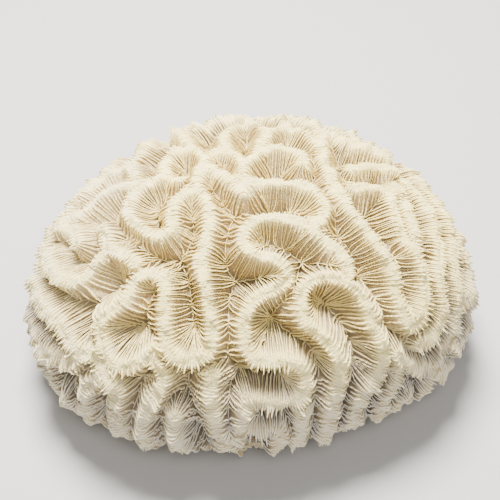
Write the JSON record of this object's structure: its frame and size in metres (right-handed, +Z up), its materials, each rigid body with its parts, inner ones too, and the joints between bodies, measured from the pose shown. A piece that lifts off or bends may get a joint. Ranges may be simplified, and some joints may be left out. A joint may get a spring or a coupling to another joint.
{
  "type": "brain coral head",
  "caption": "Low domed head of dried brain coral with winding rounded walls and deep valleys lined with thin septa, cut flat underneath",
  "frame": {"origin": "middle of the head's outline at the level of the flat cut underneath", "axes": "+Z up, from the flat cut to the crown; +X along the head's long way; -Y is the side with the double loop of walls that faces the viewer"},
  "size_m": [0.19, 0.177, 0.0899],
  "materials": {
    "coral": "dry, rough and chalky, cream white walls with tan to brown gaps between the septa"
  },
  "bodies": {
    "root": {"coral_head": "coral"}
  },
  "joints": []
}
